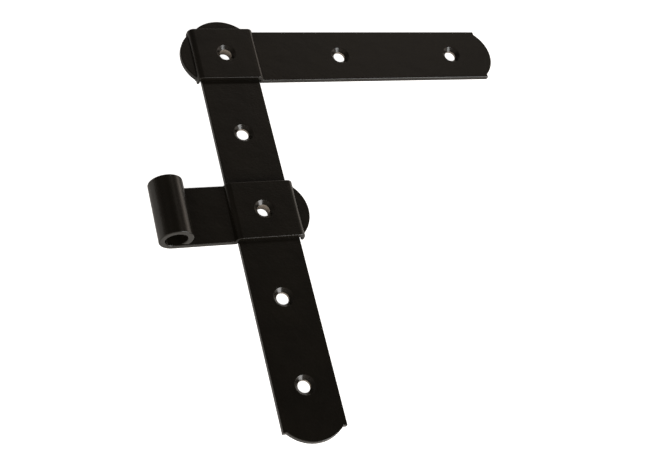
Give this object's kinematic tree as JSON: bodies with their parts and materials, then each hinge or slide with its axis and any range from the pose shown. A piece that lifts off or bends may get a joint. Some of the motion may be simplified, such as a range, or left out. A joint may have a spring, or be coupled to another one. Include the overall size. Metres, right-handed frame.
{
  "type": "shutter hinge",
  "caption": "Angle hinge for a window shutter: an upright flat bar, a horizontal bar stepped over it at the corner and a short strap rolled into an eye for the pin.",
  "frame": {"origin": "on the axis of the pin, half way along the eye", "axes": "+X from the pin out along the hinge strap and the horizontal bar, +Y along the pin towards the corner, +Z out of the shutter's face, towards the viewer"},
  "size_m": [0.2742, 0.3002, 0.0216],
  "materials": {
    "black_coating": "satin"
  },
  "bodies": {
    "root": {"vertical_bar": "black_coating", "horizontal_bar": "black_coating", "hinge_strap": "black_coating"}
  },
  "joints": []
}
